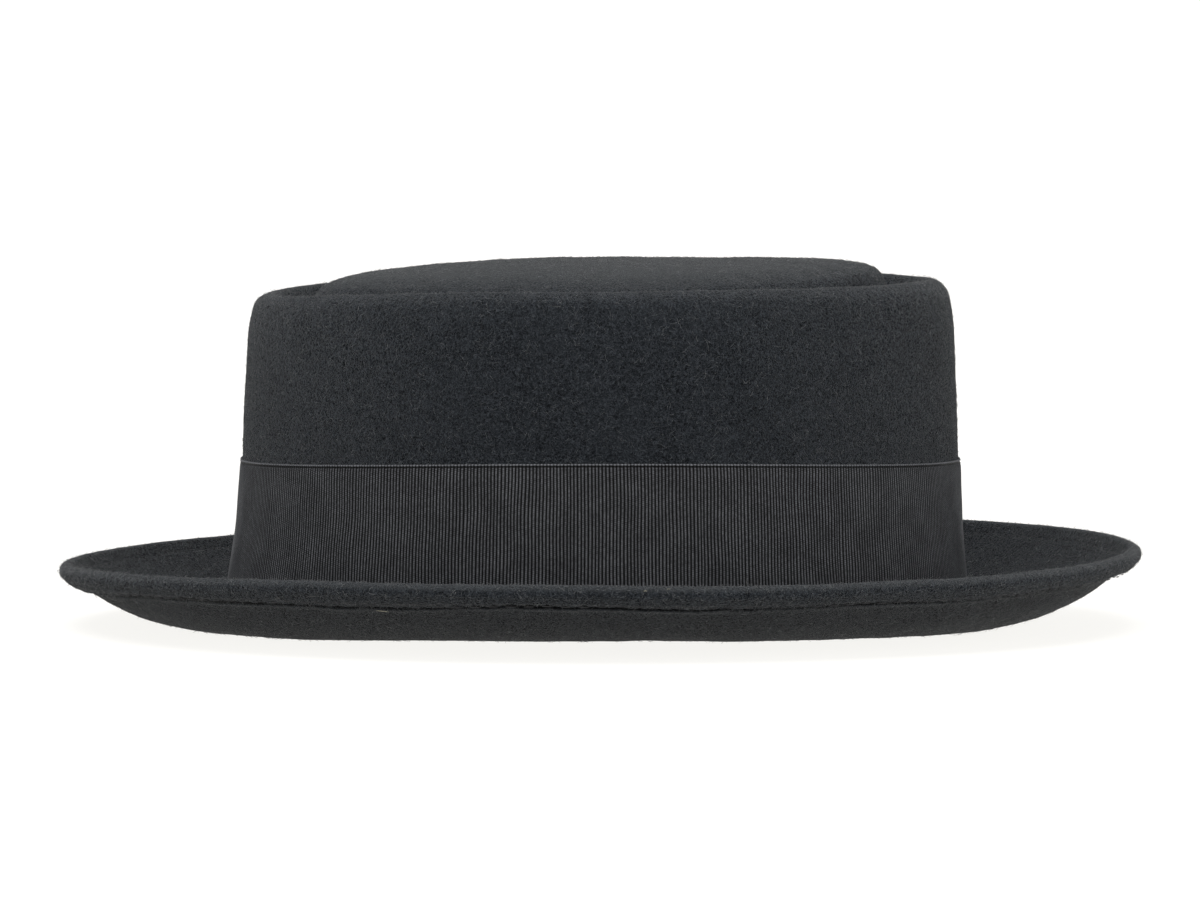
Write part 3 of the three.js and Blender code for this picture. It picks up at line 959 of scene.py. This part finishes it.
class Finish:
    """A material, made node by node round one Principled shader."""

    def __init__(self, name, **constants):
        self.material = bpy.data.materials.new(name)
        self.material.use_nodes = True
        self.tree = self.material.node_tree
        self.shader = self.tree.nodes["Principled BSDF"]
        for socket, value in constants.items():
            self.shader.inputs[socket.replace("_", " ")].default_value = value

    def node(self, kind, settings, inputs):
        """Adds a node: first its settings, then its sockets' values or links."""
        node = self.tree.nodes.new(kind)
        for setting, value in settings.items():
            setattr(node, setting, value)
        sockets = {socket.identifier: socket for socket in node.inputs}
        for name, value in inputs.items():
            if isinstance(value, Value):
                self.tree.links.new(value.socket, sockets[name])
            else:
                sockets[name].default_value = value
        return {socket.identifier: Value(self, socket) for socket in node.outputs}

    def position(self):
        """The place on the hat, in metres."""
        return self.node("ShaderNodeTexCoord", {}, {})["Object"]

    def attribute(self, name):
        """A value that the mesh's points carry."""
        return self.node("ShaderNodeAttribute", {"attribute_name": name}, {})["Fac"]

    def noise(self, at, size, detail=2.0, roughness=0.5, distortion=0.0):
        """Cloudy noise from 0 to 1, whose clouds are about that many millimetres wide."""
        inputs = {
            "Vector": at,
            "Scale": 1 / (size * MM),
            "Detail": detail,
            "Roughness": roughness,
            "Distortion": distortion,
        }
        return self.node("ShaderNodeTexNoise", {}, inputs)["Fac"]

    def mixed(self, share, first, second):
        """A colour between two, as (red, green, blue) or from another mix."""
        inputs = {
            "Factor_Float": share,
            "A_Color": first if isinstance(first, Value) else (*first, 1),
            "B_Color": second if isinstance(second, Value) else (*second, 1),
        }
        return self.node("ShaderNodeMix", {"data_type": "RGBA"}, inputs)["Result_Color"]

    def give(self, **values):
        """Links values that vary over the surface to the shader."""
        for socket, value in values.items():
            self.tree.links.new(value.socket, self.shader.inputs[socket.replace("_", " ")])

    def bump(self, height, distance):
        """A surface relief from heights of 0 to 1, that many millimetres from low to high."""
        inputs = {"Height": height, "Strength": 1.0, "Distance": distance * MM}
        return self.node("ShaderNodeBump", {}, inputs)["Normal"]


# Colours, as linear red, green and blue
FELT_GROUND = (0.0016, 0.0021, 0.0029)
FELT_MOTTLE = (0.0124, 0.0145, 0.0172)
FELT_FIBRES = (0.042, 0.047, 0.054)
# Lighter felt, as wear and as painted highlight on up-facing edges, the crown's top and the channel's
# ridge
FELT_WORN_AND_PAINTED_HIGHLIGHT = (0.045, 0.048, 0.050)
# Near black, as painted shade in creases, the slit, the channel and the faces that get less light
FELT_PAINTED_SHADE = (0.0005, 0.0005, 0.0006)
NAP_DARK = (0.020, 0.021, 0.022)
NAP_LIGHT = (0.064, 0.067, 0.070)
THREAD_DARK = (0.010, 0.010, 0.011)
THREAD_LIGHT = (0.024, 0.024, 0.026)
# The ribbon's colour runs from painted shade in the gaps between ribs to painted highlight on their
# crests
RIBBON_PAINTED_SHADE = (0.0008, 0.0008, 0.001)
RIBBON_PAINTED_HIGHLIGHT = (0.110, 0.114, 0.123)
LINT_DARK = (0.12, 0.115, 0.09)
LINT_LIGHT = (0.36, 0.34, 0.27)
HAIR_DARK = (0.07, 0.07, 0.068)
HAIR_LIGHT = (0.17, 0.17, 0.16)
FLOOR_DARK = (0.11, 0.11, 0.11)
FLOOR_LIGHT = (0.12, 0.12, 0.12)

CURL_FINENESS = 7  # how thin the fibres that lie on the felt are, against the gaps between them


def curls(finish, at, size):
    """Thin wandering lines, as fibres that lie on the felt, from 0 between them to 1."""
    cloud = finish.noise(at, size, detail=1.5, distortion=0.6)
    return (1 - abs(cloud * 2 - 1) * CURL_FINENESS).rising(0, 1)


def felt_finish():
    """Matt black wool felt with a short uneven nap."""
    felt = Finish(
        "black_wool_felt",
        Roughness=0.95,
        Specular_IOR_Level=0.05,
        Sheen_Weight=0.2,
        Sheen_Roughness=0.1,
        Sheen_Tint=(1.0, 1.0, 0.98, 1),
    )
    at = felt.position()
    patches = felt.noise(at, size=16)
    mottle = felt.noise(at, size=1.15, detail=3, roughness=0.65)
    fibres = curls(felt, at, size=0.85) + curls(felt, at, size=0.55)
    ground = patches.rising(0.3, 0.75) * 0.25 + mottle.rising(0.38, 0.62) * 0.75
    base = felt.mixed(ground, FELT_GROUND, FELT_MOTTLE)
    fuzzy = felt.mixed((fibres * 0.6).rising(0, 1), base, FELT_FIBRES)
    # Lighter where the points say, as wear and as painted highlight
    worn_and_painted_highlight = felt.attribute("wear_and_painted_highlight").rising(0.05, 0.5) * (0.25 + mottle * 0.4)
    rubbed_and_painted_highlight = felt.mixed(worn_and_painted_highlight, fuzzy, FELT_WORN_AND_PAINTED_HIGHLIGHT)
    # Then near black where the points say, as painted shade
    colour = felt.mixed(felt.attribute("crease"), rubbed_and_painted_highlight, FELT_PAINTED_SHADE)
    felt.give(Base_Color=colour, Normal=felt.bump(mottle * 0.6 + fibres * 0.3, distance=0.4))
    return felt.material


def nap_finish():
    """Single wool fibres, which catch more light than the ground they stand on."""
    fibre = Finish("wool_fibre", Roughness=0.7, Specular_IOR_Level=0.5, Sheen_Weight=0.3)
    tone = fibre.noise(fibre.position(), size=4).rising(0.35, 0.65)
    fibre.give(Base_Color=fibre.mixed(tone, NAP_DARK, NAP_LIGHT))
    return fibre.material


def lint_finish(name, dark, light):
    """Dull lint or hair, uneven in tone along its length."""
    strand = Finish(name, Roughness=0.8, Specular_IOR_Level=0.3)
    tone = strand.noise(strand.position(), size=0.9)
    strand.give(Base_Color=strand.mixed(tone.rising(0.3, 0.7), dark, light))
    return strand.material


def thread_finish():
    """Black twisted sewing thread."""
    thread = Finish("black_thread", Roughness=0.6, Specular_IOR_Level=0.4)
    tone = thread.noise(thread.position(), size=0.4, detail=1)
    thread.give(Base_Color=thread.mixed(tone, THREAD_DARK, THREAD_LIGHT))
    return thread.material


def ribbon_finish():
    """Black grosgrain: warp threads bent over thick ribs, a little glossy on the crests, with painted
    highlights on the crests and painted shade between the ribs.
    """
    ribbon = Finish(
        "black_grosgrain",
        Specular_IOR_Level=0.08,
        Sheen_Weight=0.04,
        Sheen_Roughness=0.3,
        Sheen_Tint=(1.0, 0.97, 0.95, 1),
    )
    across = ribbon.attribute("across")
    rib = ribbon.attribute("rib")
    wave = (rib * math.pi).sine()
    tone = ribbon.attribute("tone")
    # Painted highlights on the ribs' crests, on the warp threads where they pass over the ribs and on
    # the edge cord, and painted shade in the gaps between ribs; slub and streaks are the threads' own
    # uneven tone
    crest = abs(wave).rising(0.5, 1) + tone.rising(1.2, 1.8) * 0.3
    over = (across * (TURN / WARP_PITCH)).sine() * wave * 0.5 + 0.5
    slub = ribbon.noise(ribbon.position(), size=0.8).rising(0.35, 0.65)
    streaks = ribbon.noise(ribbon.position(), size=7).rising(0.3, 0.7)
    light = crest * (0.2 + over * 0.55 + slub * 0.25) * tone * (0.75 + streaks * 0.25)
    colour = ribbon.mixed(light + slub * 0.02, RIBBON_PAINTED_SHADE, RIBBON_PAINTED_HIGHLIGHT)
    ribbon.give(
        Base_Color=colour,
        Roughness=0.5 - crest * 0.1 + slub * 0.08,
        Normal=ribbon.bump(over * 0.6 + slub * 0.4, distance=0.1),
    )
    return ribbon.material


def floor_finish():
    """Plain white studio ground that glows by itself, as a table lit from beneath does."""
    ground = Finish(
        "white_floor",
        Roughness=0.9,
        Specular_IOR_Level=0.1,
        Emission_Color=(1.0, 0.99, 0.96, 1),
        Emission_Strength=0.9,
    )
    tone = ground.noise(ground.position(), size=900, detail=1)
    ground.give(Base_Color=ground.mixed(tone, FLOOR_DARK, FLOOR_LIGHT))
    return ground.material


FLOOR_RADIUS = 40000
FLOOR_SIDES = 96
FLOOR_DROP = 0.05  # how far under the hat it lies, so that the faces don't meet
SURROUNDINGS = 0.34  # brightness of the white all round
LIGHTS = [
    dict(name="overhead", towards=(0.15, 0.15, -1.0), spread=50, strength=3.4),
    dict(name="front", towards=(0.0, 0.97, -0.25), spread=60, strength=1.0),
    dict(name="left", towards=(0.9, 0.4, -0.3), spread=50, strength=0.9),
    dict(name="right", towards=(-0.9, 0.4, -0.3), spread=50, strength=1.5),
    dict(name="back", towards=(0.0, -0.5, -0.86), spread=60, strength=0.85),
]


def studio():
    """A wide plain floor, white surroundings and five broad soft lights."""
    angle = np.linspace(0, TURN, FLOOR_SIDES, endpoint=False)
    drop = np.full(FLOOR_SIDES, -FLOOR_DROP)
    rim = np.stack([FLOOR_RADIUS * np.cos(angle), FLOOR_RADIUS * np.sin(angle), drop], -1)
    floor = mesh_piece("floor", rim, [list(range(FLOOR_SIDES))], floor_finish(), smooth=False)
    world = bpy.data.worlds.new("studio")
    world.use_nodes = True
    background = world.node_tree.nodes["Background"]
    background.inputs["Color"].default_value = (1, 1, 1, 1)
    background.inputs["Strength"].default_value = SURROUNDINGS
    bpy.context.scene.world = world
    for row in LIGHTS:
        light = bpy.data.lights.new(row["name"], "SUN")
        light.angle = math.radians(row["spread"])
        light.energy = row["strength"]
        lamp = bpy.data.objects.new(row["name"], light)
        lamp.rotation_euler = Vector(row["towards"]).to_track_quat("-Z", "Y").to_euler()
        bpy.context.scene.collection.objects.link(lamp)
    bpy.context.scene.view_settings.view_transform = "Standard"


def camera():
    """The photograph's view: from the wearer's right, a little above the brim, far away."""
    lens = bpy.data.cameras.new("camera")
    lens.sensor_width = SENSOR
    lens.lens = LENS
    lens.clip_end = REACH_OF_VIEW
    eye = bpy.data.objects.new("camera", lens)
    eye.location = CAMERA_AT
    aim = Vector(CAMERA_AIM) - eye.location
    eye.rotation_euler = aim.to_track_quat("-Z", "Y").to_euler()
    bpy.context.scene.collection.objects.link(eye)
    bpy.context.scene.camera = eye


camera()
studio()
felt = felt_finish()
fibre = nap_finish()
skin, fibres, edges = felt_body(felt)
thread = thread_finish()
hem_stitches(thread)
lap_tacks(ribbon_band(ribbon_finish()), thread)
on_crown = np.arange(len(skin)) < sum(row["rings"] for row in CROWN_STRETCHES)
shown = fibres > 0
nap("nap_on_crown", skin, fibres * on_crown, fibre, count=9500, seed=41, length=1.4, lift=0.2)
nap("nap_on_brim", skin, fibres * ~on_crown, fibre, count=9500, seed=42, length=1.4, lift=0.25)
nap("nap_on_edges", skin, edges * shown, fibre, count=9600, seed=43, length=0.9, lift=0.4)
pale_lint = lint_finish("pale_lint", LINT_DARK, LINT_LIGHT)
grey_hair = lint_finish("grey_hair", HAIR_DARK, HAIR_LIGHT)
nap("stray_hairs", skin, (edges + 0.01) * shown, grey_hair, count=90, seed=44, length=3.2, lift=0.9)
lint(skin, shown, pale_lint, grey_hair)
